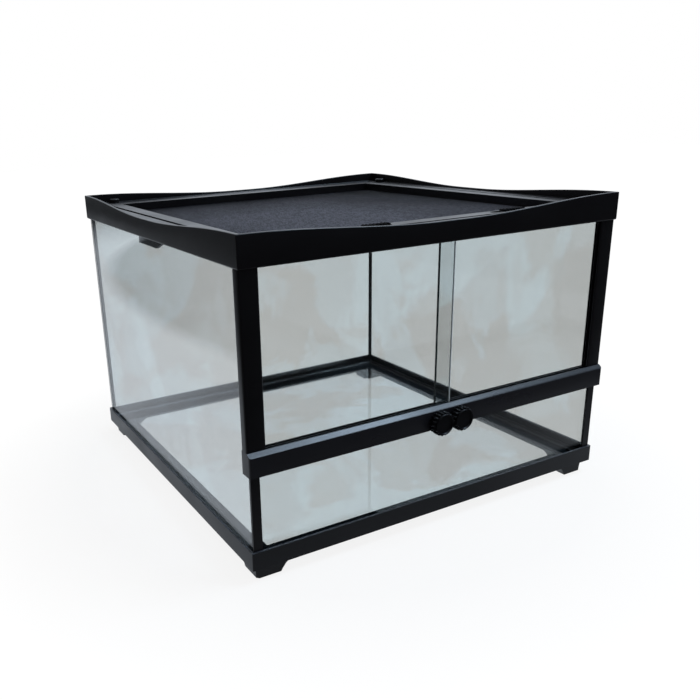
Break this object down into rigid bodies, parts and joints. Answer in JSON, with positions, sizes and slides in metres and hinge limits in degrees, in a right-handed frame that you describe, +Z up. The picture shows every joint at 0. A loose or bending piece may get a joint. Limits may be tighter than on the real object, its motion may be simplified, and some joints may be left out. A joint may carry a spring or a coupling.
{
  "type": "terrarium cabinet",
  "caption": "Glass terrarium cabinet with a black plastic base, a sloped middle rail, sliding front doors with thumb-knob locks and a lift-out screen lid.",
  "frame": {"origin": "on the floor, under the middle of the whole cabinet with its knobs", "axes": "+Z up, +X to the right along the front, +Y from the front doors to the back pane"},
  "size_m": [0.451, 0.466, 0.326],
  "materials": {
    "black_plastic": "satin moulded",
    "glass": "clear polished",
    "sealant": "cured silicone bead",
    "net": "fine woven screen",
    "pad_rubber": "soft matte"
  },
  "bodies": {
    "cabinet": {"base_frame": "black_plastic", "left_lower_post": "black_plastic", "right_lower_post": "black_plastic", "left_upper_post": "black_plastic", "right_upper_post": "black_plastic", "mid_rail": "black_plastic", "lower_door_track": "black_plastic", "upper_door_track": "black_plastic", "top_frame": "black_plastic", "front_left_corner_plug": "black_plastic", "front_right_corner_plug": "black_plastic", "back_right_corner_plug": "black_plastic", "back_left_corner_plug": "black_plastic", "floor_glass": "glass", "left_glass": "glass", "right_glass": "glass", "back_glass": "glass", "front_lower_glass": "glass", "floor_seal": "sealant", "back_left_seal": "sealant", "back_right_seal": "sealant"},
    "left_door": {"left_door": "glass"},
    "right_door": {"right_door": "glass"},
    "left_lock_pad": {"left_lock_pad": "pad_rubber"},
    "left_lock_knob": {"left_lock_knob": "black_plastic"},
    "right_lock_pad": {"right_lock_pad": "pad_rubber"},
    "right_lock_knob": {"right_lock_knob": "black_plastic"},
    "lid": {"lid_frame": "black_plastic", "lid_mesh": "net", "lid_mesh_retainer": "black_plastic"},
    "left_lid_lock": {"left_lid_lock": "black_plastic"},
    "right_lid_lock": {"right_lid_lock": "black_plastic"},
    "left_cable_port_slider": {"left_cable_port_slider": "black_plastic"},
    "right_cable_port_slider": {"right_cable_port_slider": "black_plastic"}
  },
  "joints": [
    {"name": "left_door_slide", "type": "slide", "parent": "cabinet", "child": "left_door", "axis": [1, 0, 0], "range_m": [0, 0.2065]},
    {"name": "right_door_slide", "type": "slide", "parent": "cabinet", "child": "right_door", "axis": [-1, 0, 0], "range_m": [-0.003, 0.2035]},
    {"name": "left_lock_pad_slide", "type": "slide", "parent": "cabinet", "child": "left_lock_pad", "axis": [0, 1, 0], "range_m": [0, 0.00125]},
    {"name": "left_lock_knob_turn", "type": "hinge", "parent": "left_lock_pad", "child": "left_lock_knob", "pos_m": [-0.01385, -0.2225, 0.119], "axis": [0, 1, 0], "range_deg": [0, 360]},
    {"name": "right_lock_pad_slide", "type": "slide", "parent": "cabinet", "child": "right_lock_pad", "axis": [0, 1, 0], "range_m": [0, 0.00125]},
    {"name": "right_lock_knob_turn", "type": "hinge", "parent": "right_lock_pad", "child": "right_lock_knob", "pos_m": [0.01145, -0.2225, 0.119], "axis": [0, 1, 0], "range_deg": [0, 360]},
    {"name": "lid_lift", "type": "slide", "parent": "cabinet", "child": "lid", "axis": [0, 0, 1], "range_m": [0, 0.06]},
    {"name": "left_lid_lock_slide", "type": "slide", "parent": "lid", "child": "left_lid_lock", "axis": [-1, 0, 0], "range_m": [0, 0.0114]},
    {"name": "right_lid_lock_slide", "type": "slide", "parent": "lid", "child": "right_lid_lock", "axis": [-1, 0, 0], "range_m": [0, 0.0114]},
    {"name": "left_cable_port_slide", "type": "slide", "parent": "cabinet", "child": "left_cable_port_slider", "axis": [0, 1, 0], "range_m": [0, 0.065]},
    {"name": "right_cable_port_slide", "type": "slide", "parent": "cabinet", "child": "right_cable_port_slider", "axis": [0, 1, 0], "range_m": [0, 0.065]}
  ],
  "couplings": [
    {"joint": "left_lock_pad_slide", "follows": "left_lock_knob_turn", "m_per_rad": 0.00019894},
    {"joint": "right_lock_pad_slide", "follows": "right_lock_knob_turn", "m_per_rad": 0.00019894}
  ]
}
